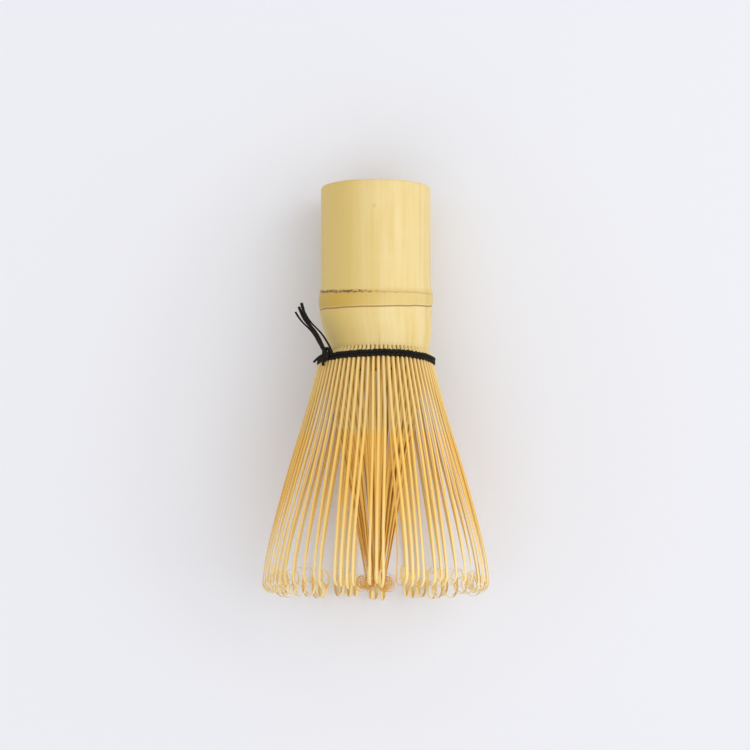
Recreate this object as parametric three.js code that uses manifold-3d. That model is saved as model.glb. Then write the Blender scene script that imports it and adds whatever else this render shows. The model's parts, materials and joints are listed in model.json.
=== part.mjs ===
// A bamboo tea whisk, lying on its side on a table.
//
// One length of bamboo is handle and whisk in one: below its node the culm stays whole, above
// it the wall is split into an outer row of strips, bent outward, and an inner row, bent inward
// to a point. A thread woven between the rows holds them apart and ends in a knot on one side.
//
// Everything is built in the whisk's own frame: z runs along its axis from the end of the
// handle to the tips, +y is the side that faces up on the table and x is across.

import * as THREE from 'three';
import { mergeVertices } from 'three/addons/utils/BufferGeometryUtils.js';
import Module from 'manifold-3d';

const wasm = await Module();
wasm.setup();

// ---- driving dimensions, mm ----
const HANDLE_RADIUS = 14.6;
const WALL = 3.2;
const RIM_BEVEL = 0.5;
const NODE = { start: 28, end: 32.6, radius: 15.3, shoulder: 0.8, diaphragm: 2, fillet: 1.5 };
const NECK = { start: 14.8, end: 13.2, bulge: 0.2, wall: 2 };
const SPLIT_START = 43.9;
const ROOT_TOP = 45;
const THREAD_HEIGHT = 46.3;

const TINES = 72;
const TINE_PITCH = (2 * Math.PI) / TINES;
const INNER_COMBS = 12;
const OUTER_TINE = { width: 0.95, thickness: 0.5 };
const INNER_TINE = { share: 0.62, thickness: 0.4 };
const OUTER_SHARE_OF_WALL = 0.9;
const GAP = 0.3;

// The tips spread widest here. The whisk's weight presses the tips under it up into one flat,
// which starts at this angle to each side of the lowest point.
const SPREAD = { radius: 30.45, height: 106 };
const FLAT_HALF_ANGLE = THREE.MathUtils.degToRad(25);
const FLAT_DEPTH = SPREAD.radius * Math.cos(FLAT_HALF_ANGLE);

// The tilt that brings the handle's rim and the flat under the tips down to one surface.
const LYING_TILT = Math.atan2(FLAT_DEPTH - HANDLE_RADIUS, SPREAD.height);

// The culm isn't quite straight: its neck stands a little to one side of the axis, and the ring
// of its node slants across it.
const SWAY = { reach: 0.9, start: 33, peak: 42.5, end: 47 };
const SLANT = { up: 1.6, across: -0.4, start: 20, full: 27, last: 34, end: 42 };

// The outer tips stand in bunches, and each bunch is a comb. From the right side of the whisk
// over the top to the left: the number of tines, how far their tips lean to the left, and by
// what share of their pitch they close up. The bunches underneath mirror the ones on top, and
// the table splays them by up to SPLAY.
const BUNCHES = [
  [5, 0, 0.1], [4, 0, -0.3], [3, 1.6, 0.3], [4, -0.1, 0.4], [3, 1.1, 0.3],
  [4, 0.5, 0.38], [2, 0.3, 0.3], [3, 1.5, -0.35], [4, 1.2, 0.1], [4, 0, 0.1],
];
const SPLAY = 1.3;

const bamboo = new THREE.Color(0xe3cd92);
const goldenBamboo = new THREE.Color(0xe2bd70);
const black = new THREE.Color(0x1f1a22);

// ---- helpers ----
function material(color, roughness) {
  return new THREE.MeshStandardMaterial({ color, roughness, metalness: 0 });
}

const { smoothstep } = THREE.MathUtils;

// Gives a straight piece the culm's own bend and slant.
function grown(geometry) {
  const position = geometry.attributes.position;
  for (let i = 0; i < position.count; i += 1) {
    const [x, y, z] = [position.getX(i), position.getY(i), position.getZ(i)];
    const bent = smoothstep(z, SWAY.start, SWAY.peak) - smoothstep(z, SWAY.peak, SWAY.end);
    const nearNode = smoothstep(z, SLANT.start, SLANT.full) - smoothstep(z, SLANT.last, SLANT.end);
    const slant = (SLANT.up * y + SLANT.across * x) / NODE.radius;
    position.setXYZ(i, x + SWAY.reach * bent, y, z + nearNode * slant);
  }
}

function toSolid(geometry) {
  const bare = geometry.clone();
  bare.deleteAttribute('normal');
  bare.deleteAttribute('uv');
  const merged = mergeVertices(bare, 1e-4);
  const mesh = new wasm.Mesh({
    numProp: 3,
    vertProperties: new Float32Array(merged.attributes.position.array),
    triVerts: new Uint32Array(merged.index.array),
  });
  return new wasm.Manifold(mesh);
}

function toGeometry(solid) {
  const mesh = solid.getMesh();
  const geometry = new THREE.BufferGeometry();
  geometry.setAttribute('position', new THREE.BufferAttribute(mesh.vertProperties, 3));
  geometry.setIndex(new THREE.BufferAttribute(mesh.triVerts, 1));
  geometry.computeVertexNormals();
  return geometry;
}

// A ring or a cup from its half section, given as [radius, height] points.
function turned(section, segments) {
  const points = section.map(([radius, height]) => new THREE.Vector2(radius, height));
  return new THREE.LatheGeometry(points, segments).rotateX(Math.PI / 2);
}

function namedMesh(name, geometry, color, roughness) {
  const mesh = new THREE.Mesh(geometry, material(color, roughness));
  mesh.name = name;
  return mesh;
}

// ---- the culm ----
function culm() {
  const bore = HANDLE_RADIUS - WALL;
  const neckBore = NECK.end - NECK.wall;
  const middle = (NODE.start + NODE.end) / 2;
  const floor = middle - NODE.diaphragm / 2;
  const ceiling = middle + NODE.diaphragm / 2;
  const section = [
    [0, floor],
    [bore - NODE.fillet, floor],
    [bore, floor - NODE.fillet],
    [bore, 0],
    [HANDLE_RADIUS - RIM_BEVEL, 0],
    [HANDLE_RADIUS, RIM_BEVEL],
    [HANDLE_RADIUS, NODE.start - NODE.shoulder],
    [NODE.radius, NODE.start + NODE.shoulder],
    [NODE.radius, NODE.end - NODE.shoulder],
    [NECK.start, NODE.end],
    [(NECK.start + NECK.end) / 2 + NECK.bulge, (NODE.end + SPLIT_START) / 2],
    [NECK.end, SPLIT_START],
    [neckBore, SPLIT_START],
    [neckBore, ceiling + NODE.fillet],
    [neckBore - NODE.fillet, ceiling],
    [0, ceiling],
  ];
  return namedMesh('handle_culm', turned(section, 40), bamboo, 0.5);
}

// ---- the combs of tines ----

// The centre line of a strip, seen edge-on: the given [radius, height] points, then a curl that
// turns toward the axis (turn +1) or away from it (turn -1).
function curledSpine(points, curl) {
  const spine = points.map(([radius, height]) => new THREE.Vector2(radius, height));
  let heading = spine.at(-1).clone().sub(spine.at(-2)).angle();
  const bend = (curl.turn * curl.sweep) / curl.steps;
  for (let step = 0; step < curl.steps; step += 1) {
    const radius = THREE.MathUtils.lerp(curl.startRadius, curl.endRadius, step / curl.steps);
    const length = 2 * radius * Math.sin(Math.abs(bend) / 2);
    heading += bend / (step === 0 ? 2 : 1);
    const move = new THREE.Vector2(Math.cos(heading), Math.sin(heading)).multiplyScalar(length);
    spine.push(spine.at(-1).clone().add(move));
  }
  return spine;
}

// The edge-on outline of a strip of even thickness along a spine.
function stripOutline(spine, thickness) {
  const near = [];
  const far = [];
  spine.forEach((point, i) => {
    const before = spine[Math.max(i - 1, 0)];
    const after = spine[Math.min(i + 1, spine.length - 1)];
    const along = after.clone().sub(before).normalize();
    const side = new THREE.Vector2(along.y, -along.x).multiplyScalar(thickness / 2);
    far.push(point.clone().add(side));
    near.unshift(point.clone().sub(side));
  });
  return new THREE.Shape([...far, ...near]);
}

// How far along a tine's free length a height is: 0 at the thread and 1 at the widest spread.
function reach(z) {
  return Math.max((z - THREAD_HEIGHT - 1.5) / (SPREAD.height - THREAD_HEIGHT - 1.5), 0);
}

// How far each outer tip leans toward the next one round the ring.
function bunchedLeans() {
  const tipPitch = SPREAD.radius * TINE_PITCH;
  const onTop = BUNCHES.flatMap(([tines, toLeft, closing]) => {
    const seats = Array.from({ length: tines }, (_, k) => k - (tines - 1) / 2);
    return seats.map((seat) => toLeft - seat * closing * tipPitch);
  });
  const underneath = onTop.toReversed().map((lean, i) => {
    const azimuth = Math.PI + (i + 0.5) * TINE_PITCH;
    return -lean - SPLAY * Math.sin(2 * azimuth);
  });
  return [...onTop, ...underneath];
}

// How far the table presses in the tip of the tine at an azimuth.
function pressedIn(azimuth, lean) {
  const depth = -SPREAD.radius * Math.sin(azimuth) - lean * Math.cos(azimuth);
  return depth > FLAT_DEPTH ? (depth - FLAT_DEPTH) / -Math.sin(azimuth) : 0;
}

// A strip at one azimuth. row.widthAt gives its width at a radius, and lean is how far its tip
// stands toward the next tine.
function tine(row, azimuth, lean) {
  const outline = stripOutline(row.spine, row.thickness);
  const geometry = new THREE.ExtrudeGeometry(outline, { depth: 1, bevelEnabled: false });
  geometry.translate(0, 0, -0.5).rotateX(Math.PI / 2);
  const press = row.leans ? pressedIn(azimuth, lean) : 0;
  const position = geometry.attributes.position;
  for (let i = 0; i < position.count; i += 1) {
    const radius = position.getX(i);
    const share = reach(position.getZ(i));
    position.setX(i, radius - press * share);
    position.setY(i, position.getY(i) * row.widthAt(radius) + lean * share);
  }
  return geometry.rotateZ(azimuth);
}

// The unsplit root of a comb: a short sector of the culm's wall, from one azimuth to another.
function root(row, start, end) {
  const sector = new THREE.Shape();
  sector.absarc(0, 0, row.rootOuter, start, end, false);
  sector.absarc(0, 0, row.rootInner, end, start, true);
  const low = SPLIT_START + GAP;
  const options = { depth: ROOT_TOP - low, bevelEnabled: false, curveSegments: 3 };
  return new THREE.ExtrudeGeometry(sector, options).translate(0, 0, low);
}

function comb(row, first, tines) {
  const margin = GAP / (2 * row.rootInner);
  const start = first * TINE_PITCH + margin;
  const end = (first + tines) * TINE_PITCH - margin;
  let solid = toSolid(root(row, start, end));
  for (let i = first; i < first + tines; i += 1) {
    const lean = row.leans ? row.leans[i] : 0;
    solid = solid.add(toSolid(tine(row, (i + 0.5) * TINE_PITCH, lean)));
  }
  return toGeometry(solid);
}

function combs(row) {
  const made = [];
  let first = 0;
  for (const tines of row.combs) {
    const name = `${row.name}_comb_${String(made.length + 1).padStart(2, '0')}`;
    made.push(namedMesh(name, comb(row, first, tines), goldenBamboo, 0.55));
    first += tines;
  }
  return made;
}

const onTop = BUNCHES.map(([tines]) => tines);

const outerRow = {
  name: 'outer',
  combs: [...onTop, ...onTop.toReversed()],
  rootInner: NECK.end - OUTER_SHARE_OF_WALL,
  rootOuter: NECK.end,
  thickness: OUTER_TINE.thickness,
  leans: bunchedLeans(),
  widthAt: () => OUTER_TINE.width,
  spine: curledSpine(
    [[12.75, 44.4], [14.5, 46], [14.85, 47.6], [25.45, 83.5], [28.9, 96.8], [30.2, 106.6]],
    { turn: 1, sweep: 4.7, startRadius: 2.3, endRadius: 1.4, steps: 6 },
  ),
};

const innerRow = {
  name: 'inner',
  combs: Array(INNER_COMBS).fill(TINES / INNER_COMBS),
  rootInner: NECK.end - NECK.wall,
  rootOuter: NECK.end - OUTER_SHARE_OF_WALL - GAP,
  thickness: INNER_TINE.thickness,
  leans: null,
  widthAt: (radius) => INNER_TINE.share * TINE_PITCH * Math.min(Math.abs(radius), NECK.end),
  spine: curledSpine(
    [[11.6, 44.4], [12.2, 46.4], [5.7, 83.5], [2.6, 103.4]],
    { turn: -1, sweep: 3.9, startRadius: 2, endRadius: 1.4, steps: 5 },
  ),
};

// ---- the thread ----
const THREAD = { inner: 15.3, outer: 15.95, height: 1.9, strand: 0.6 };
const WEAVE = { inner: 12.75, outer: 13.4, height: 1.2 };
const KNOT = { azimuth: THREE.MathUtils.degToRad(145), drop: 0.4, core: 1.2, loop: 1.25, turn: 0.7 };

function threadRing(name, ring) {
  const low = THREAD_HEIGHT - ring.height / 2;
  const high = THREAD_HEIGHT + ring.height / 2;
  const section = [
    [ring.inner, low],
    [ring.outer, low],
    [ring.outer, high],
    [ring.inner, high],
    [ring.inner, low],
  ];
  return namedMesh(name, turned(section, 36), black, 0.8);
}

// Two crossed loops of thread drawn tight over each other.
function knot() {
  const stands = THREAD.outer + GAP + KNOT.core / 2 + THREAD.strand / 2;
  let solid = toSolid(new THREE.SphereGeometry(KNOT.core, 10, 6).scale(KNOT.turn, 1, 1));
  for (const side of [-1, 1]) {
    const loop = new THREE.TorusGeometry(KNOT.loop, THREAD.strand / 2, 6, 12);
    loop.rotateY(Math.PI / 2 + side * KNOT.turn / 2).rotateX(side * KNOT.turn);
    solid = solid.add(toSolid(loop));
  }
  const geometry = toGeometry(solid);
  geometry.translate(stands, 0, THREAD_HEIGHT - KNOT.drop).rotateZ(KNOT.azimuth);
  return namedMesh('thread_knot', geometry, black, 0.8);
}

// A loose end of the thread. Its points are [across, up, along] in the whisk's frame.
function tail(index, points) {
  const path = new THREE.CatmullRomCurve3(points.map((point) => new THREE.Vector3(...point)));
  const section = new THREE.Shape();
  section.absarc(0, 0, THREAD.strand / 2, 0, 2 * Math.PI);
  const options = { steps: 8, curveSegments: 3, extrudePath: path };
  const geometry = new THREE.ExtrudeGeometry(section, options);
  return namedMesh(`thread_tail_${index}`, toGeometry(toSolid(geometry)), black, 0.8);
}

const TAILS = [
  [[-15, 9.7, 43.7], [-16.4, 9.4, 40], [-17.7, 8.9, 36], [-19.2, 8, 31.9]],
  [[-15.3, 8.9, 43.5], [-16.8, 8.6, 40], [-18.2, 8, 36.6], [-19.9, 7, 33]],
  [[-16, 8.2, 43.3], [-17.6, 7.9, 39.2], [-19.1, 7.1, 36.6], [-20.7, 6.2, 34.2]],
  [[-12.3, 11.2, 44.6], [-14.3, 10.9, 40.5], [-16.1, 10.3, 37.5], [-17.8, 9.7, 34.9]],
];

// ---- assembly ----
function buildWhisk() {
  const whisk = new THREE.Group();
  whisk.add(culm(), ...combs(outerRow), ...combs(innerRow));
  whisk.add(threadRing('thread_band', THREAD), threadRing('thread_weave', WEAVE), knot());
  TAILS.forEach((points, i) => whisk.add(tail(i + 1, points)));
  whisk.children.forEach((piece) => grown(piece.geometry));
  return whisk;
}

// Laid on its side with the handle toward +Y, centred over the origin, resting on z = 0.
function layDown(whisk) {
  const table = new THREE.Group();
  table.add(whisk);
  whisk.rotation.x = Math.PI / 2 - LYING_TILT;
  table.updateMatrixWorld(true);
  const box = new THREE.Box3().setFromObject(table, true);
  const centre = box.getCenter(new THREE.Vector3());
  whisk.position.set(-centre.x, -centre.y, -box.min.z);
  return table;
}

export default layDown(buildWhisk());
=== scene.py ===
"""A bamboo tea whisk lying on its side on a pale table, seen from straight above.

Everything is built in the whisk's own frame, in millimetres: z runs from the end of the handle
to the tips, y is the side that faces up and x is across. place() carries it to the row's frame.
"""

import json
import math
import random

import bmesh
import bpy
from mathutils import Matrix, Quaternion, Vector


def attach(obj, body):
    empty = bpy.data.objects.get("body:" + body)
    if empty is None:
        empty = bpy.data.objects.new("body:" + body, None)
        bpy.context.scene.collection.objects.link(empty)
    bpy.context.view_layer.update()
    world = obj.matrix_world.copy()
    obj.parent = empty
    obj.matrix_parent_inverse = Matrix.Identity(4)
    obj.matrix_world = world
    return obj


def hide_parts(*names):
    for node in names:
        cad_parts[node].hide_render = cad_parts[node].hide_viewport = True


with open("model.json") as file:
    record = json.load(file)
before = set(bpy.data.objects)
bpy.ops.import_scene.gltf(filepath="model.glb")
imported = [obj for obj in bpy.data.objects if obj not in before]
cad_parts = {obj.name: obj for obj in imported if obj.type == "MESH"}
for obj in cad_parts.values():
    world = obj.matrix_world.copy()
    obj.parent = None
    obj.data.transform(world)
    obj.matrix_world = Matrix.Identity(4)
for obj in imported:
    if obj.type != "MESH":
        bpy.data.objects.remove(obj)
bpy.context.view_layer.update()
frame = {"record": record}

# ---- the whisk's frame, from the flat end of the handle ----
MM = 0.001
MOUNT_RADIUS = 12.6
mount = frame["record"]["mounts"][0]
ALONG = -Vector(mount["axis"]).normalized()
ACROSS = Vector((1, 0, 0))
UP = ALONG.cross(ACROSS)
ORIGIN = Vector(mount["pos_m"]) + UP * MOUNT_RADIUS * MM

# ---- sizes, mm ----
HANDLE_RADIUS = 14.6
NODE_RADIUS = 15.3
NODE_LOW = 27.2
SCAR_HEIGHT = 28.0
LINE_HEIGHT = 32.4
NECK_RADIUS = 13.2
SPLIT_START = 43.9
ROOT_TOP = 45
THREAD_HEIGHT = 46.3
FREE_FROM = THREAD_HEIGHT + 1.5
TINES = 72
PITCH = 2 * math.pi / TINES
INNER_COMBS = 12
SOAK_LINE = 66.8
FRONT = math.pi / 2
SHARP = math.radians(50)
SPREAD_RADIUS = 30.45
SPREAD_HEIGHT = 106
FLAT_HALF_ANGLE = math.radians(25)
FLAT_DEPTH = SPREAD_RADIUS * math.cos(FLAT_HALF_ANGLE)
NECK_SHIFT = 0.9
NODE_SLANT_UP = 1.6
NODE_SLANT_ACROSS = -0.4

# The bunches the outer tips stand in, from the right side over the top to the left: the number
# of tines, how far their tips lean to the left, mm, and by what share of their pitch they close
# up. Those underneath mirror them, splayed by up to SPLAY.
BUNCHES = [
    (5, 0, 0.1), (4, 0, -0.3), (3, 1.6, 0.3), (4, -0.1, 0.4), (3, 1.1, 0.3),
    (4, 0.5, 0.38), (2, 0.3, 0.3), (3, 1.5, -0.35), (4, 1.2, 0.1), (4, 0, 0.1),
]
SPLAY = 1.3


def place(point):
    """A point of the whisk's frame, in mm, as a point of the row's frame, in metres."""
    return ORIGIN + (ACROSS * point.x + UP * point.y + ALONG * point.z) * MM


def ease(low, high, value):
    """0 below low, 1 above high, and a smooth step between them."""
    t = min(max((value - low) / (high - low), 0), 1)
    return t * t * (3 - 2 * t)


def grown(point):
    """A point of the straight whisk, moved by the bend of its neck and the slant of its node."""
    z = point.z
    bend = NECK_SHIFT * (ease(33, 42.5, z) - ease(45, 47.6, z))
    slant = (NODE_SLANT_UP * point.y + NODE_SLANT_ACROSS * point.x) / NODE_RADIUS
    return point + Vector((bend, 0, slant * (ease(20, 27, z) - ease(34, 42, z))))


def reach(z):
    """How far along a tine's free length a height is, from 0 at the thread to 1 at the tips."""
    return max((z - FREE_FROM) / (SPREAD_HEIGHT - FREE_FROM), 0)


def bunched_leans():
    """How far each outer tip leans toward the next one round the ring."""
    on_top = []
    for tines, to_left, closing in BUNCHES:
        for k in range(tines):
            seat = k - (tines - 1) / 2
            on_top.append(to_left - seat * closing * SPREAD_RADIUS * PITCH)
    underneath = []
    for i, lean in enumerate(reversed(on_top)):
        azimuth = math.pi + (i + 0.5) * PITCH
        underneath.append(-lean - SPLAY * math.sin(2 * azimuth))
    return on_top + underneath


def pressed_in(azimuth, lean):
    """How far the table presses an outer tip in toward the axis."""
    depth = -SPREAD_RADIUS * math.sin(azimuth) - lean * math.cos(azimuth)
    return (depth - FLAT_DEPTH) / -math.sin(azimuth) if depth > FLAT_DEPTH else 0


def from_front(azimuth):
    """An azimuth as an angle from the front, positive to the left, between -pi and pi."""
    return (azimuth - FRONT + math.pi) % (2 * math.pi) - math.pi


def to_front(azimuth):
    """The distance round the handle from the front, or from the back on the back half.

    It comes back to 0 at the back, so that nothing painted with it has a seam there.
    """
    angle = from_front(azimuth)
    if abs(angle) > math.pi / 2:
        angle = math.copysign(math.pi, angle) - angle
    return angle * HANDLE_RADIUS


def profile_at(profile, z):
    """A smooth curve through (height, radius) points, read at a height."""
    if z <= profile[0][0]:
        return profile[0][1]
    for i in range(len(profile) - 1):
        (z0, r0), (z1, r1) = profile[i], profile[i + 1]
        if z <= z1:
            break
    before = profile[max(i - 1, 0)]
    after = profile[min(i + 2, len(profile) - 1)]
    slope0 = (r1 - before[1]) / (z1 - before[0])
    slope1 = (after[1] - r0) / (after[0] - z0)
    t = min((z - z0) / (z1 - z0), 1)
    span = z1 - z0
    return (
        (2 * t**3 - 3 * t**2 + 1) * r0
        + (t**3 - 2 * t**2 + t) * span * slope0
        + (3 * t**2 - 2 * t**3) * r1
        + (t**3 - t**2) * span * slope1
    )


class Skin:
    """A mesh in the making. grain is (across, side, along) in mm, for the materials to read."""

    def __init__(self):
        self.points = []
        self.faces = []
        self.slots = []
        self.grain = []
        self.tint = []

    def sweep(self, rings, grains, tint, slot=0, closed=False):
        """Joins rings of points into a tube with capped ends, or into a closed loop."""
        start = len(self.points)
        size = len(rings[0])
        for ring, grain in zip(rings, grains):
            self.points.extend(ring)
            self.grain.extend(grain)
            self.tint.extend([tint] * size)
        count = len(rings) if closed else len(rings) - 1
        for i in range(count):
            low = start + i * size
            high = start + ((i + 1) % len(rings)) * size
            for j in range(size):
                k = (j + 1) % size
                self.faces.append((low + j, low + k, high + k, high + j))
                self.slots.append(slot[j] if isinstance(slot, list) else slot)
        if not closed:
            last = start + (len(rings) - 1) * size
            self.faces.append(tuple(start + j for j in reversed(range(size))))
            self.faces.append(tuple(last + j for j in range(size)))
            self.slots.extend([slot, slot])

    def finish(self, name, body, nodes, materials):
        """Makes the object, rides it on its body and replaces its CAD nodes."""
        mesh = bpy.data.meshes.new(name)
        points = [place(grown(p)) for p in self.points]
        mesh.from_pydata(points, [], self.faces)
        mesh.attributes.new("grain", "FLOAT_VECTOR", "POINT")
        mesh.attributes.new("tint", "FLOAT", "POINT")
        flat = [value for grain in self.grain for value in grain]
        mesh.attributes["grain"].data.foreach_set("vector", flat)
        mesh.attributes["tint"].data.foreach_set("value", self.tint)
        for one in materials:
            mesh.materials.append(one)
        mesh.polygons.foreach_set("material_index", self.slots)
        mesh.polygons.foreach_set("use_smooth", [True] * len(self.faces))
        shape = bmesh.new()
        shape.from_mesh(mesh)
        bmesh.ops.recalc_face_normals(shape, faces=shape.faces)
        shape.to_mesh(mesh)
        shape.free()
        mesh.set_sharp_from_angle(angle=SHARP)
        piece = bpy.data.objects.new(name, mesh)
        bpy.context.scene.collection.objects.link(piece)
        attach(piece, body)
        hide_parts(*nodes)
        return piece


# ---- materials ----
class Shader:
    """A short way to write a node material."""

    def __init__(self, name):
        self.material = bpy.data.materials.new(name)
        self.material.use_nodes = True
        self.tree = self.material.node_tree
        self.bsdf = self.tree.nodes["Principled BSDF"]

    def node(self, kind, inputs=(), **settings):
        made = self.tree.nodes.new(kind)
        for key, value in settings.items():
            setattr(made, key, value)
        for key, value in dict(inputs).items():
            self.feed(made.inputs[key], value)
        return made

    def feed(self, socket, value):
        if isinstance(value, bpy.types.NodeSocket):
            self.tree.links.new(value, socket)
        else:
            socket.default_value = value

    def attribute(self, name, output="Vector"):
        return self.node("ShaderNodeAttribute", attribute_name=name).outputs[output]

    def math(self, operation, a, b=0.0, clamp=False):
        made = self.node("ShaderNodeMath", {0: a, 1: b}, operation=operation, use_clamp=clamp)
        return made.outputs[0]

    def scaled(self, vector, scale):
        made = self.node("ShaderNodeVectorMath", {0: vector, 1: scale}, operation="MULTIPLY")
        return made.outputs[0]

    def noise(self, vector, scale, detail=3.0, roughness=0.55):
        inputs = {"Vector": vector, "Scale": scale, "Detail": detail, "Roughness": roughness}
        return self.node("ShaderNodeTexNoise", inputs).outputs["Fac"]

    def ramp(self, value, low, high, to_low=0.0, to_high=1.0):
        inputs = {"Value": value, 1: low, 2: high, 3: to_low, 4: to_high}
        return self.node("ShaderNodeMapRange", inputs, interpolation_type="SMOOTHSTEP").outputs[0]

    def mix(self, amount, a, b, blend="MIX"):
        made = self.node("ShaderNodeMix", data_type="RGBA", blend_type=blend)
        for index, value in ((0, amount), (6, a), (7, b)):
            self.feed(made.inputs[index], value)
        return made.outputs[2]

    def band(self, value, centre, half_width):
        """1 at the centre, falling to 0 at half_width from it."""
        distance = self.math("ABSOLUTE", self.math("SUBTRACT", value, centre))
        return self.ramp(distance, half_width * 0.35, half_width, 1.0, 0.0)

    def bump(self, height, strength, distance):
        inputs = {"Height": height, "Strength": strength, "Distance": distance}
        self.feed(self.bsdf.inputs["Normal"], self.node("ShaderNodeBump", inputs).outputs[0])


SKIN_PALE = (0.81, 0.65, 0.32, 1)
# The skin's deeper straw, also used as painted shade on the culm's left side.
SKIN_DEEP_AND_SHADE = (0.71, 0.51, 0.15, 1)
# The node's deeper yellow, darkened further as painted shade for its left side.
SWOLLEN_AND_SHADE = (0.61, 0.39, 0.06, 1)
SHAVED = (0.85, 0.63, 0.20, 1)
# The orange of the shaved sides, darkened as painted shade for the gaps between tines.
SHAVED_SIDE_AND_SHADE = (0.66, 0.33, 0.05, 1)
SOAKED = (0.95, 0.62, 0.16, 1)
SOAKED_DEEP = (0.90, 0.53, 0.09, 1)
PITH = (0.86, 0.64, 0.22, 1)
THIN = (0.93, 0.75, 0.37, 1)
BURNT = (0.085, 0.042, 0.018, 1)
RIDGE_LINE = (0.33, 0.18, 0.05, 1)
THREAD_DARK = (0.005, 0.004, 0.003, 1)
THREAD_LIT = (0.030, 0.021, 0.015, 1)
TABLE_TONE = (0.795, 0.80, 0.84, 1)
CRACK_FROM = 39
KNOCK_HEIGHT = 7.2
KNOCK_ACROSS = 0.4


def fibres(shader, grain):
    """Fine streaks and broad streaks that run along the grain, as two 0 to 1 values."""
    fine = shader.noise(shader.scaled(grain, (6.0, 1.0, 0.1)), 1.0, 3.0, 0.6)
    broad = shader.noise(shader.scaled(grain, (0.45, 1.0, 0.02)), 1.0, 2.0)
    return fine, broad


def skin_colour(shader, grain, fine, broad):
    """The culm's waxy skin: pale, streaked and clouded with a deeper straw."""
    colour = shader.mix(shader.ramp(broad, 0.25, 0.75, 0.0, 0.7), SKIN_PALE, SKIN_DEEP_AND_SHADE)
    colour = shader.mix(shader.ramp(fine, 0.35, 0.75, 0.0, 0.3), colour, SKIN_DEEP_AND_SHADE)
    cloud = shader.noise(shader.scaled(grain, (0.12, 1.0, 0.1)), 1.0, 3.0)
    return shader.mix(shader.ramp(cloud, 0.4, 0.75, 0.0, 0.5), colour, SKIN_PALE)


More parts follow.
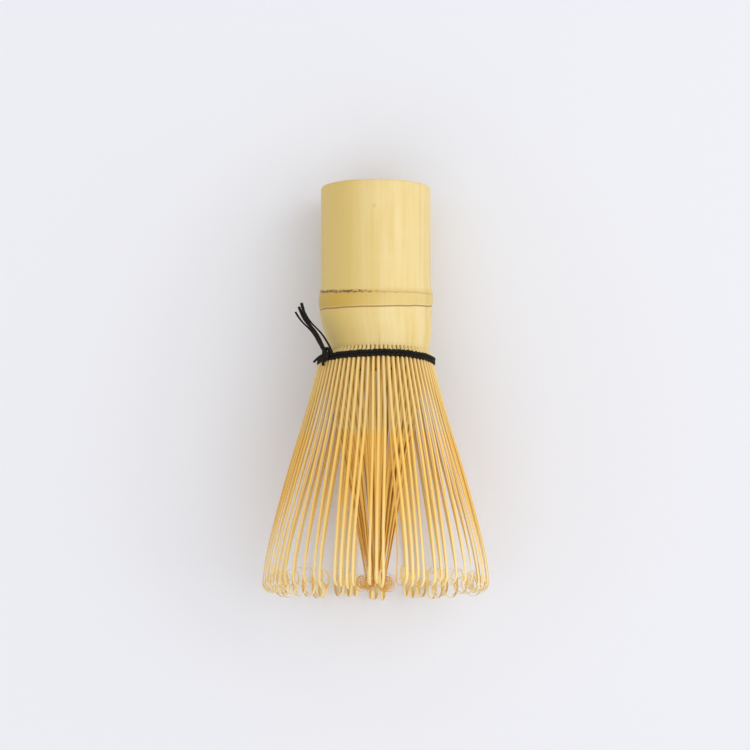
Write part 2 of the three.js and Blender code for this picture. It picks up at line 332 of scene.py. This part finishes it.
def culm_skin():
    """The culm's outside: skin with the marks of its node, its splits, a crack and a knock."""
    shader = Shader("culm_skin")
    grain = shader.attribute("grain")
    parts = shader.node("ShaderNodeSeparateXYZ", {0: grain})
    across, along = parts.outputs["X"], parts.outputs["Z"]
    in_front = shader.ramp(parts.outputs["Y"], 0.0, 0.3)
    fine, broad = fibres(shader, grain)
    colour = skin_colour(shader, grain, fine, broad)
    # Painted shade: the culm's left side, away from the window, is a deeper yellow than its right.
    colour = shader.mix(shader.ramp(across, -1.0, 9.0, 0.0, 0.85), colour, SKIN_DEEP_AND_SHADE)
    # The swollen node is a deeper yellow than the culm above and below it, with painted shade deepening
    # its left side.
    node_tone_and_shade = shader.math(
        "MULTIPLY",
        shader.ramp(along, NODE_LOW, NODE_LOW + 1.4),
        shader.ramp(along, LINE_HEIGHT - 0.8, LINE_HEIGHT, 1.0, 0.0),
    )
    # Painted shade: the node's colour is laid on more strongly on the left, away from the window.
    node_tone_and_shade = shader.math("MULTIPLY", node_tone_and_shade, shader.ramp(across, -4.0, 12.0, 0.35, 0.9))
    colour = shader.mix(node_tone_and_shade, colour, SWOLLEN_AND_SHADE)
    # The scar of the sheath on the handle's side of the node: dark, broken, fading to the right.
    wander = shader.noise(shader.scaled(grain, (0.5, 0.0, 0.0)), 1.0, 2.0)
    drop = shader.math("MULTIPLY", across, -0.035)
    scar_height = shader.math("ADD", drop, shader.math("MULTIPLY", wander, 0.8))
    level = shader.math("SUBTRACT", along, shader.math("ADD", scar_height, SCAR_HEIGHT))
    torn = shader.noise(shader.scaled(grain, (0.9, 0.0, 2.2)), 1.0, 5.0, 0.7)
    reaching = shader.ramp(across, -6.0, 9.0, 0.60, 0.44)
    broken = shader.ramp(shader.math("SUBTRACT", torn, reaching), -0.02, 0.05)
    scar = shader.math("MULTIPLY", shader.band(level, 0.0, 0.5), broken)
    colour = shader.mix(shader.math("MULTIPLY", scar, 0.95), colour, BURNT)
    faint = shader.math("MULTIPLY", shader.band(level, 0.1, 0.3), 0.3)
    colour = shader.mix(faint, colour, RIDGE_LINE)
    # The thin wavy line on the other side of the node.
    wave = shader.noise(shader.scaled(grain, (0.07, 0.0, 0.0)), 1.0, 2.0)
    line_height = shader.math("ADD", shader.math("MULTIPLY", wave, 1.2), LINE_HEIGHT - 0.6)
    line = shader.band(along, line_height, 0.28)
    colour = shader.mix(shader.math("MULTIPLY", line, 0.9), colour, RIDGE_LINE)
    # A hairline crack that runs up from one of the splits.
    crooked = shader.math("MULTIPLY", shader.math("SUBTRACT", wander, 0.5), 0.3)
    crack = shader.band(across, crooked, 0.07)
    crack = shader.math("MULTIPLY", crack, shader.ramp(along, CRACK_FROM, CRACK_FROM + 3))
    crack = shader.math("MULTIPLY", crack, in_front)
    colour = shader.mix(shader.math("MULTIPLY", crack, 0.75), colour, RIDGE_LINE)
    # The splits between the tines run on as hairlines into the end of the skin.
    seat = shader.math("FRACT", shader.math("DIVIDE", across, HANDLE_RADIUS * PITCH))
    from_split = shader.math("ABSOLUTE", shader.math("SUBTRACT", seat, 0.5))
    uneven = shader.noise(shader.scaled(grain, (0.8, 0.0, 0.0)), 1.0, 1.0)
    rising = shader.math("ADD", along, shader.math("MULTIPLY", uneven, 2.4))
    hairline = shader.math(
        "MULTIPLY",
        shader.ramp(from_split, 0.43, 0.5),
        shader.ramp(rising, SPLIT_START + 0.1, SPLIT_START + 1.3),
    )
    colour = shader.mix(shader.math("MULTIPLY", hairline, 0.8), colour, RIDGE_LINE)
    # A small knock in the skin near the end of the handle.
    knock = shader.math(
        "MULTIPLY", shader.band(across, KNOCK_ACROSS, 0.6), shader.band(along, KNOCK_HEIGHT, 0.7)
    )
    knock = shader.math("MULTIPLY", knock, in_front)
    colour = shader.mix(shader.math("MULTIPLY", knock, 0.2), colour, RIDGE_LINE)
    shader.feed(shader.bsdf.inputs["Base Color"], colour)
    shader.feed(shader.bsdf.inputs["Roughness"], shader.ramp(fine, 0.3, 0.7, 0.40, 0.55))
    marks = shader.math("ADD", shader.math("MULTIPLY", line, 2.0), shader.math("MULTIPLY", scar, 1.5))
    shader.bump(shader.math("SUBTRACT", fine, marks), 0.25, 0.00008)
    shader.feed(shader.bsdf.inputs["Specular IOR Level"], 0.4)
    return shader.material


def culm_cut():
    """The sawn end and the bore: pale pith with darker dots where the fibres end."""
    shader = Shader("culm_cut")
    grain = shader.attribute("grain")
    dots = shader.node("ShaderNodeTexVoronoi", {"Vector": grain, "Scale": 1.7}).outputs["Distance"]
    cloud = shader.noise(grain, 0.6, 3.0)
    colour = shader.mix(shader.ramp(cloud, 0.3, 0.7), PITH, SKIN_PALE)
    colour = shader.mix(shader.ramp(dots, 0.16, 0.3, 0.55, 0.0), colour, RIDGE_LINE)
    shader.feed(shader.bsdf.inputs["Base Color"], colour)
    shader.feed(shader.bsdf.inputs["Roughness"], shader.ramp(cloud, 0.3, 0.7, 0.7, 0.85))
    shader.bump(dots, 0.4, 0.0001)
    return shader.material


def tine_bamboo(name, depth, side_and_shade_depth, paling):
    """Shaved bamboo: culm skin outside and pith inside, golden beyond SOAK_LINE."""
    shader = Shader(name)
    grain = shader.attribute("grain")
    tint = shader.attribute("tint", "Fac")
    parts = shader.node("ShaderNodeSeparateXYZ", {0: grain})
    side, along = parts.outputs["Y"], parts.outputs["Z"]
    fine, broad = fibres(shader, grain)
    colour = skin_colour(shader, grain, fine, broad)
    own = shader.math("MULTIPLY", tint, shader.ramp(along, 44.5, 50.0))
    colour = shader.mix(own, colour, SHAVED)
    edge = shader.math("MULTIPLY", shader.math("SUBTRACT", tint, 0.5), 0.9)
    level = shader.math("SUBTRACT", along, edge)
    deeper = shader.math("MULTIPLY", tint, shader.ramp(fine, 0.3, 0.7, 0.5, 1.0))
    soaked = shader.mix(deeper, SOAKED, SOAKED_DEEP)
    wet = shader.ramp(level, SOAK_LINE - 0.3, SOAK_LINE + 0.3, 0.0, depth)
    colour = shader.mix(wet, colour, soaked)
    thin = shader.ramp(along, SPREAD_HEIGHT - 26, SPREAD_HEIGHT, 0.0, paling)
    colour = shader.mix(thin, colour, THIN)
    shaved = shader.math(
        "MULTIPLY",
        shader.ramp(along, ROOT_TOP, ROOT_TOP + 2.4),
        shader.ramp(along, SPREAD_HEIGHT - 40, SPREAD_HEIGHT, 1.0, 1 - paling),
    )
    # Painted shade: the tines' sides are a dark orange, partly the colour of the shaved sides and partly
    # the shade in the gaps between tines.
    flank_tone_and_shade = shader.math("MULTIPLY", shader.ramp(side, 0.5, 0.98, side_and_shade_depth, 0.0), shaved)
    colour = shader.mix(flank_tone_and_shade, colour, SHAVED_SIDE_AND_SHADE)
    colour = shader.mix(shader.ramp(side, -0.95, -0.6, 0.6, 0.0), colour, PITH)
    shader.feed(shader.bsdf.inputs["Base Color"], colour)
    shader.feed(shader.bsdf.inputs["Roughness"], shader.ramp(fine, 0.3, 0.7, 0.45, 0.62))
    shader.bump(fine, 0.3, 0.00005)
    shader.feed(shader.bsdf.inputs["Specular IOR Level"], 0.35)
    return shader.material


def thread_black():
    """Black cotton: plies that wind round the strand, and a little fuzz."""
    shader = Shader("black_thread")
    grain = shader.attribute("grain")
    parts = shader.node("ShaderNodeSeparateXYZ", {0: grain})
    around, run = parts.outputs["X"], parts.outputs["Z"]
    turns = shader.math("ADD", shader.math("MULTIPLY", around, 2.0), shader.math("MULTIPLY", run, 7.0))
    plies = shader.math("ABSOLUTE", shader.math("SINE", turns))
    fuzz = shader.noise(shader.scaled(grain, (2.0, 1.0, 6.0)), 1.0, 4.0, 0.7)
    lit = shader.math("MULTIPLY", plies, fuzz)
    colour = shader.mix(lit, THREAD_DARK, THREAD_LIT)
    shader.feed(shader.bsdf.inputs["Base Color"], colour)
    shader.feed(shader.bsdf.inputs["Roughness"], shader.ramp(fuzz, 0.3, 0.7, 0.65, 0.85))
    shader.bump(shader.math("ADD", plies, shader.math("MULTIPLY", fuzz, 0.5)), 0.8, 0.00012)
    shader.feed(shader.bsdf.inputs["Specular IOR Level"], 0.2)
    return shader.material


# ---- the culm ----
OUTSIDE = [
    (0, 14.25), (0.25, 14.5), (0.7, 14.6), (12, 14.58), (25.6, 14.6), (27.2, 14.68), (28.1, 14.88),
    (28.9, 15.08), (29.8, 15.18), (31.2, 15.16), (32, 15.0), (32.5, 14.84), (33.5, 14.8),
    (38.4, 14.28), (42, 13.5), (SPLIT_START, NECK_RADIUS),
]
INSIDE = [(SPLIT_START, 11.3), (33.2, 11.2), (32.4, 10.8), (31.6, 9.6), (31.4, 8)]
BORE = [(29.2, 8), (28.9, 10), (28, 11.1), (25, 11.4), (1, 11.4), (0.3, 11.5), (0, 11.8)]
CULM_SIDES = 144


def culm():
    """The handle with its node and neck: hollow, closed across by the wall inside the node."""
    rng = random.Random(11)
    lumps = [(k, rng.uniform(-0.05, 0.05), rng.uniform(0, 6.3)) for k in (2, 3, 5, 7)]
    heights = sorted({z for z, _ in OUTSIDE} | {k * 1.1 for k in range(1, 40)})
    outline = [(z, profile_at(OUTSIDE, z), 1) for z in heights if z <= SPLIT_START]
    outline += [(z, r, -1) for z, r in INSIDE]
    outline += [(31.3, 0.02, -1), (29.3, 0.02, -1)]
    outline += [(z, r, -1) for z, r in BORE]
    skin = Skin()
    rings, grains = [], []
    for i in range(CULM_SIDES):
        azimuth = 2 * math.pi * i / CULM_SIDES
        uneven = sum(size * math.sin(k * azimuth + phase) for k, size, phase in lumps)
        ring, grain = [], []
        for z, r, side in outline:
            knuckle = ease(NODE_LOW, NODE_LOW + 1.5, z) - ease(LINE_HEIGHT - 0.8, LINE_HEIGHT + 0.2, z)
            radius = r + (uneven * (0.4 + knuckle) if side > 0 and z > 1 else 0)
            ring.append(Vector((radius * math.cos(azimuth), radius * math.sin(azimuth), z)))
            if side > 0:
                grain.append((to_front(azimuth), math.cos(from_front(azimuth)), z))
            else:
                grain.append((radius * math.cos(azimuth), radius * math.sin(azimuth), z))
        rings.append(ring)
        grains.append(grain)
    skin_faces = sum(1 for _, _, side in outline if side > 0) - 1
    slots = [0 if j < skin_faces else 1 for j in range(len(outline))]
    skin.sweep(rings, grains, 0.5, slots, closed=True)
    skin.finish("culm", "handle", ["handle_culm"], [culm_skin(), culm_cut()])


# ---- the tines ----
# The section of a strip, as shares of its width and thickness, skin side first.
SECTION = [
    (-0.5, -0.1), (-0.36, 0.3), (-0.14, 0.5), (0.14, 0.5), (0.36, 0.3), (0.5, -0.1),
    (0.3, -0.5), (-0.3, -0.5),
]
OUTER = [
    (SPLIT_START, 12.85), (44.6, 13.05), (45.4, 13.75), (46.1, 14.5), (47.2, 14.85), (51.5, 16.0),
    (63.4, 19.4), (76, 23.2), (83.5, 25.35), (90, 27.1), (96.8, 28.75), (102, 29.7), (106.6, 30.1),
]
INNER = [
    (SPLIT_START, 11.75), (45.2, 12.1), (46.4, 12.25), (55, 11.7), (64.7, 10.1), (74, 8.3),
    (83.5, 6.4), (94, 4.5), (104, 2.6),
]
ROOT_HEIGHTS = [
    SPLIT_START - 0.3, SPLIT_START, 44.3, 44.7, 45.1, 45.5, 45.9, 46.3, 46.8, 47.4, 48.5, 50,
]
ROOT_END = ROOT_HEIGHTS[-1]
STATION_STEP = 3.6
BOWS_FROM = 48
LEANS_FROM = 58
TWISTS_FROM = 60
SPREADS_BY = 100
LEANS_BY = 104
CURL_STEP = 0.26
CURL_TIGHTENS = 0.28
CURL_NARROWS = 0.3
CURL_THINS = 0.45


def strip(skin, stations, offset, tint):
    """A strip of bamboo through stations of (point, side, face, width, thickness, along)."""
    rings, grains = [], []
    for point, side, face, width, thickness, along in stations:
        rings.append([point + side * a * width + face * t * thickness for a, t in SECTION])
        grains.append([(a * width + offset, 2 * t, along) for a, t in SECTION])
    skin.sweep(rings, grains, tint)


def shaft(row, azimuth, bend, top):
    """The straight part of a tine, from the culm's wall to where the curl starts."""
    free = [ROOT_END + STATION_STEP * k for k in range(1, 16)]
    heights = ROOT_HEIGHTS + [z for z in free if z < top - 1] + [top]
    points = []
    for z in heights:
        spread = bend["out"] * ease(ROOT_END, SPREADS_BY, z)
        radius = profile_at(row["profile"], z) + spread - bend["press"] * reach(z)
        bowed = bend["bow"] * math.sin(ease(BOWS_FROM, LEANS_BY, z) * math.pi)
        lateral = bend["lean"] * ease(LEANS_FROM, LEANS_BY, z) + bowed
        points.append(Vector((radius, lateral, z)))
    turn = Quaternion((0, 0, 1), azimuth)
    stations = []
    for i, point in enumerate(points):
        tangent = (points[min(i + 1, len(points) - 1)] - points[max(i - 1, 0)]).normalized()
        side = Vector((0, 1, 0))
        side = (side - tangent * side.dot(tangent)).normalized()
        twist = Quaternion(tangent, bend["twist"] * ease(TWISTS_FROM, top, point.z))
        side = twist @ side
        face = side.cross(tangent)
        width, thickness = row["size"](point.z, abs(point.x), bend)
        stations.append((turn @ point, turn @ side, turn @ face, width, thickness, point.z))
    return stations


def curl(stations, bend):
    """Rolls the end of a tine up, toward its pith side (turn -1) or its skin side (turn +1)."""
    point, side, face, width, thickness, along = stations[-1]
    tangent = face.cross(side)
    steps = int(bend["sweep"] / CURL_STEP)
    made = []
    for step in range(1, steps + 1):
        share = step / steps
        radius = bend["curl"] * (1 - CURL_TIGHTENS * share)
        turn = Quaternion(side, bend["turn"] * bend["sweep"] / steps)
        length = radius * bend["sweep"] / steps
        tangent = turn @ tangent
        face = turn @ face
        point = point + tangent * length + side * bend["drift"] * length
        along += length
        narrowed = width * (1 - CURL_NARROWS * share)
        thinned = thickness * (1 - CURL_THINS * share)
        made.append((point, side, face, narrowed, thinned, along))
    return made


def outer_size(z, radius, bend):
    """Width and thickness of an outer tine: its share of the ring, tapering to the tip."""
    gap = 0.02 + 0.24 * ease(bend["split"], bend["split"] + 1.8, z)
    packed = PITCH * max(radius, NECK_RADIUS) - gap
    width = min(packed, bend["width"]) * (1 - 0.24 * ease(66, 106, z))
    thickness = 0.75 - 0.3 * ease(47, 60, z) - 0.31 * ease(70, 106, z)
    return width, thickness


def inner_size(z, radius, bend):
    """Width and thickness of an inner tine: thinner than an outer one from its root on."""
    width = PITCH * radius * (0.88 + 0.4 * ease(60, 80, z))
    width = min(width, bend["width"]) * (1 - 0.2 * ease(80, 104, z))
    thickness = 0.5 - 0.15 * ease(47, 60, z) - 0.2 * ease(80, 104, z)
    return width, thickness


OUTER_ROW = {"profile": OUTER, "size": outer_size}
INNER_ROW = {"profile": INNER, "size": inner_size}
OUTER_LEANS = bunched_leans()
# The one inner tine that stands out of the cone, upward and to the right.
STRAY = 14
STRAY_OUT = 3.0
STRAY_LEAN = -4.0
LAYER_DEPTH = 0.55


def outer_comb(index, first, tines, material):
    """One bunch of outer tines, as a piece that rides on its own body."""
    rng = random.Random(100 + index)
    skin = Skin()
    for number in range(first, first + tines):
        azimuth = (number + 0.5) * PITCH
        at_edge = number in (first, first + tines - 1)
        lean = OUTER_LEANS[number] + rng.uniform(-0.06, 0.06)
        bend = {
            "out": rng.uniform(-0.5, 0.1),
            "press": pressed_in(azimuth, lean),
            "lean": lean,
            "bow": rng.uniform(-0.25, 0.25),
            "twist": rng.uniform(-0.25, 0.25) * (0.2 if at_edge else 1),
            "width": rng.uniform(0.86, 1.02),
            "split": SPLIT_START + rng.uniform(-0.3, 1.0),
            "curl": rng.uniform(2.2, 2.9),
            "sweep": rng.uniform(5.4, 9.4),
            "turn": -1,
            "drift": rng.uniform(0.02, 0.035),
        }
        stations = shaft(OUTER_ROW, azimuth, bend, rng.uniform(104.6, 106.2))
        strip(skin, stations + curl(stations, bend), to_front(azimuth), rng.uniform(0.1, 0.9))
    name = f"outer_comb_{index + 1:02d}"
    skin.finish(f"{name}_tines", name, [name], [material])


def inner_comb(index, first, tines, material):
    """Six inner tines that run to the point, their neighbours in different layers."""
    rng = random.Random(500 + index)
    skin = Skin()
    for number in range(first, first + tines):
        azimuth = (number + 0.5) * PITCH
        layer = number * 5 % 8 // 2
        strays = number == STRAY
        bend = {
            "out": STRAY_OUT if strays else rng.uniform(-0.1, 0.1) - LAYER_DEPTH * layer,
            "press": 0,
            "lean": STRAY_LEAN if strays else rng.uniform(-0.35, 0.35),
            "bow": rng.uniform(-0.4, 0.4),
            "twist": rng.uniform(-0.6, 0.6),
            "width": rng.uniform(0.7, 0.86),
            "split": SPLIT_START,
            "curl": rng.uniform(1.2, 1.9),
            "sweep": rng.uniform(4.6, 7.0),
            "turn": 1,
            "drift": rng.uniform(0.02, 0.09) * rng.choice((-1, 1)),
        }
        stations = shaft(INNER_ROW, azimuth, bend, rng.uniform(104.4, 106.6))
        strip(skin, stations + curl(stations, bend), 2.7 * number, rng.uniform(0.4, 1.0))
    name = f"inner_comb_{index + 1:02d}"
    skin.finish(f"{name}_tines", name, [name], [material])


def combs(make, counts, material):
    """Makes every comb of a row from the numbers of their tines."""
    for index, tines in enumerate(counts):
        make(index, sum(counts[:index]), tines, material)


# ---- the thread ----
BAND_RADIUS = 14.7
BAND_SWING = 0.62
BAND_STRAND = 0.48
STEPS_A_TINE = 6
# Each round's height above the middle of the band, and its shift to the right.
ROUNDS = [(-0.44, -0.32), (0.44, 0.0)]
KNOT_RADIUS = 16.1
KNOT_STEPS = 60


def cord(skin, path, radius, closed=False, sides=8, tip=None):
    """A round strand along a path, with grain that runs round it and along it."""
    rings, grains = [], []
    run = 0.0
    normal = None
    for i, point in enumerate(path):
        after = path[(i + 1) % len(path)] if closed else path[min(i + 1, len(path) - 1)]
        before = path[i - 1] if closed else path[max(i - 1, 0)]
        tangent = (after - before).normalized()
        if normal is None:
            normal = tangent.orthogonal().normalized()
        normal = (normal - tangent * normal.dot(tangent)).normalized()
        other = tangent.cross(normal)
        if i:
            run += (point - path[i - 1]).length
        share = i / (len(path) - 1)
        thick = radius if tip is None else radius + (tip - radius) * share
        ring, grain = [], []
        for j in range(sides):
            angle = 2 * math.pi * j / sides
            ring.append(point + (normal * math.cos(angle) + other * math.sin(angle)) * thick)
            grain.append((angle, 0, run))
        rings.append(ring)
        grains.append(grain)
    skin.sweep(rings, grains, 0.5, 0, closed)


def on_ring(radius, azimuth, z):
    return Vector((radius * math.cos(azimuth), radius * math.sin(azimuth), z))


def thread_band(material):
    """Two rounds of twined thread: one strand passes outside a tine while its twin passes inside."""
    skin = Skin()
    rng = random.Random(5)
    jog = [rng.uniform(-0.12, 0.12) for _ in range(TINES)]
    for level, aside in ROUNDS:
        for twin in (0, 1):
            path = []
            for i in range(TINES * STEPS_A_TINE):
                azimuth = PITCH * i / STEPS_A_TINE
                beat = azimuth / PITCH * math.pi + math.pi * twin
                swing = math.cos(beat)
                radius = BAND_RADIUS + BAND_SWING * math.copysign(abs(swing) ** 0.6, swing)
                uneven = jog[i // STEPS_A_TINE] * 0.6 + 0.12 * math.sin(3 * azimuth + 1)
                droop = 0.4 * math.cos(azimuth) ** 4
                height = THREAD_HEIGHT + level + 0.16 * math.sin(beat) + uneven + droop
                path.append(on_ring(radius, azimuth, height) + Vector((aside, 0, 0)))
            cord(skin, path, BAND_STRAND, closed=True, sides=7)
    skin.finish(
        "thread_rounds", "handle", ["thread_band", "thread_weave"], [material]
    )


def curve_through(points, steps):
    """A smooth path through control points."""
    path = []
    for i in range(len(points) - 1):
        p0, p1 = points[max(i - 1, 0)], points[i]
        p2, p3 = points[i + 1], points[min(i + 2, len(points) - 1)]
        for step in range(steps):
            t = step / steps
            path.append(
                0.5 * (2 * p1 + (p2 - p0) * t + (2 * p0 - 5 * p1 + 4 * p2 - p3) * t**2
                + (3 * p1 - p0 - 3 * p2 + p3) * t**3)
            )
    return path + [points[-1]]


KNOT_AZIMUTH = math.radians(149)
# Each loose end: the radius of its cord, and the points (across, up, along) it passes through.
TAILS = [
    (
        0.42,
        [(-13.6, 8.6, 46.2), (-15, 9.5, 43.5), (-16.5, 9.5, 40), (-18.2, 9, 35.8), (-19.6, 8, 30.8)],
    ),
    (
        0.36,
        [(-13.8, 8.2, 46.2), (-15.4, 9, 43.2), (-17, 8.8, 39.6), (-18.8, 8.2, 35.6), (-20.3, 7.3, 31.8)],
    ),
    (
        0.27,
        [(-14.1, 7.8, 46), (-16, 8.4, 42.6), (-17.8, 8, 39), (-19.6, 7.3, 36), (-21.2, 6.4, 33.1)],
    ),
    (
        0.27,
        [(-12, 10.2, 46.2), (-13.3, 11, 43.6), (-14.9, 10.8, 40.8), (-17, 10.2, 37), (-19, 9.5, 32.8)],
    ),
]


def knot(material):
    """The knot on the left side that closes the thread, with its two short stubs."""
    skin = Skin()
    centre = on_ring(KNOT_RADIUS, KNOT_AZIMUTH, THREAD_HEIGHT - 0.3)
    out = Vector((math.cos(KNOT_AZIMUTH), math.sin(KNOT_AZIMUTH), 0))
    left = Vector((-math.sin(KNOT_AZIMUTH), math.cos(KNOT_AZIMUTH), 0))
    down = Vector((0, 0, 1))
    loops = []
    for i in range(KNOT_STEPS):
        t = 2 * math.pi * i / KNOT_STEPS
        across = 0.6 * (math.sin(t) + 2 * math.sin(2 * t))
        along = 0.55 * (math.cos(t) - 2 * math.cos(2 * t))
        loops.append(centre + left * across + down * along - out * 0.45 * math.sin(3 * t))
    cord(skin, loops, 0.5, closed=True)
    ends = [
        [(-0.6, 0.3, -0.2), (-1.0, 0.7, 0.8), (-1.1, 0.7, 1.9), (-0.9, 0.6, 3.0)],
        [(0.4, 0.2, 0.0), (1.8, 0.5, 0.3), (3.1, 0.5, 0.9), (4.2, 0.4, 1.4)],
    ]
    for end in ends:
        points = [centre + left * a + out * o + down * d for a, o, d in end]
        cord(skin, curve_through(points, 5), 0.55, tip=0.34)
    skin.finish("knot", "handle", ["thread_knot"], [material])


def tails(material):
    """The four loose ends, each a piece of its own."""
    for number, (radius, points) in enumerate(TAILS, 1):
        skin = Skin()
        path = curve_through([Vector(p) for p in points], 7)
        cord(skin, path, radius)
        name = f"thread_tail_{number}"
        skin.finish(f"tail_{number}", "handle", [name], [material])


# ---- the set ----
CAMERA_LENS = 184
CAMERA_ABOVE = 1.017
CAMERA_AIM = Vector((-0.2, 0, 50.3))


def table_top():
    bpy.ops.mesh.primitive_plane_add(size=6, location=(0, 0, -0.0001))
    floor = bpy.context.object
    floor.name = "table_top"
    shader = Shader("table_top")
    shader.bsdf.inputs["Base Color"].default_value = TABLE_TONE
    shader.bsdf.inputs["Roughness"].default_value = 0.7
    floor.data.materials.append(shader.material)


def area_light(name, place_at, size, power, tone=(1, 1, 1)):
    light = bpy.data.lights.new(name, "AREA")
    light.size = size
    light.energy = power
    light.color = tone
    lamp = bpy.data.objects.new(name, light)
    lamp.location = place_at
    lamp.rotation_euler = (-Vector(place_at)).to_track_quat("-Z", "Y").to_euler()
    bpy.context.scene.collection.objects.link(lamp)


def studio():
    """A soft window on the right, and a room that is brighter on the window's side."""
    world = bpy.data.worlds.new("studio")
    world.use_nodes = True
    nodes, links = world.node_tree.nodes, world.node_tree.links
    direction = nodes.new("ShaderNodeTexCoord")
    split = nodes.new("ShaderNodeSeparateXYZ")
    brightness = nodes.new("ShaderNodeMapRange")
    for socket, value in zip(brightness.inputs[1:5], (-1.0, 1.0, 0.6, 1.02)):
        socket.default_value = value
    links.new(direction.outputs["Generated"], split.inputs[0])
    links.new(split.outputs["X"], brightness.inputs["Value"])
    links.new(brightness.outputs[0], nodes["Background"].inputs["Strength"])
    nodes["Background"].inputs["Color"].default_value = (0.97, 0.98, 1, 1)
    bpy.context.scene.world = world
    area_light("window", (0.9, 0.2, 1.0), 1.4, 6.3, (1, 0.98, 0.95))
    area_light("fill", (-0.8, -0.3, 1.1), 1.6, 3.6)
    bpy.context.scene.view_settings.view_transform = "Standard"


def overhead_camera():
    """Straight above, about a metre up, with the handle at the top of the picture."""
    aim = place(CAMERA_AIM)
    camera = bpy.data.cameras.new("overhead")
    camera.lens = CAMERA_LENS
    camera.sensor_width = 36
    camera.clip_start = 0.05
    seat = bpy.data.objects.new("overhead", camera)
    seat.location = (aim.x, aim.y, aim.z + CAMERA_ABOVE)
    bpy.context.scene.collection.objects.link(seat)
    bpy.context.scene.camera = seat


def build():
    overhead_camera()
    studio()
    table_top()
    culm()
    outer_bamboo = tine_bamboo("outer_tine_bamboo", 0.9, 0.75, 0.75)
    inner_bamboo = tine_bamboo("inner_tine_bamboo", 1.0, 0.6, 0.0)
    on_top = [tines for tines, _, _ in BUNCHES]
    combs(outer_comb, on_top + on_top[::-1], outer_bamboo)
    combs(inner_comb, [TINES // INNER_COMBS] * INNER_COMBS, inner_bamboo)
    black = thread_black()
    thread_band(black)
    knot(black)
    tails(black)


build()
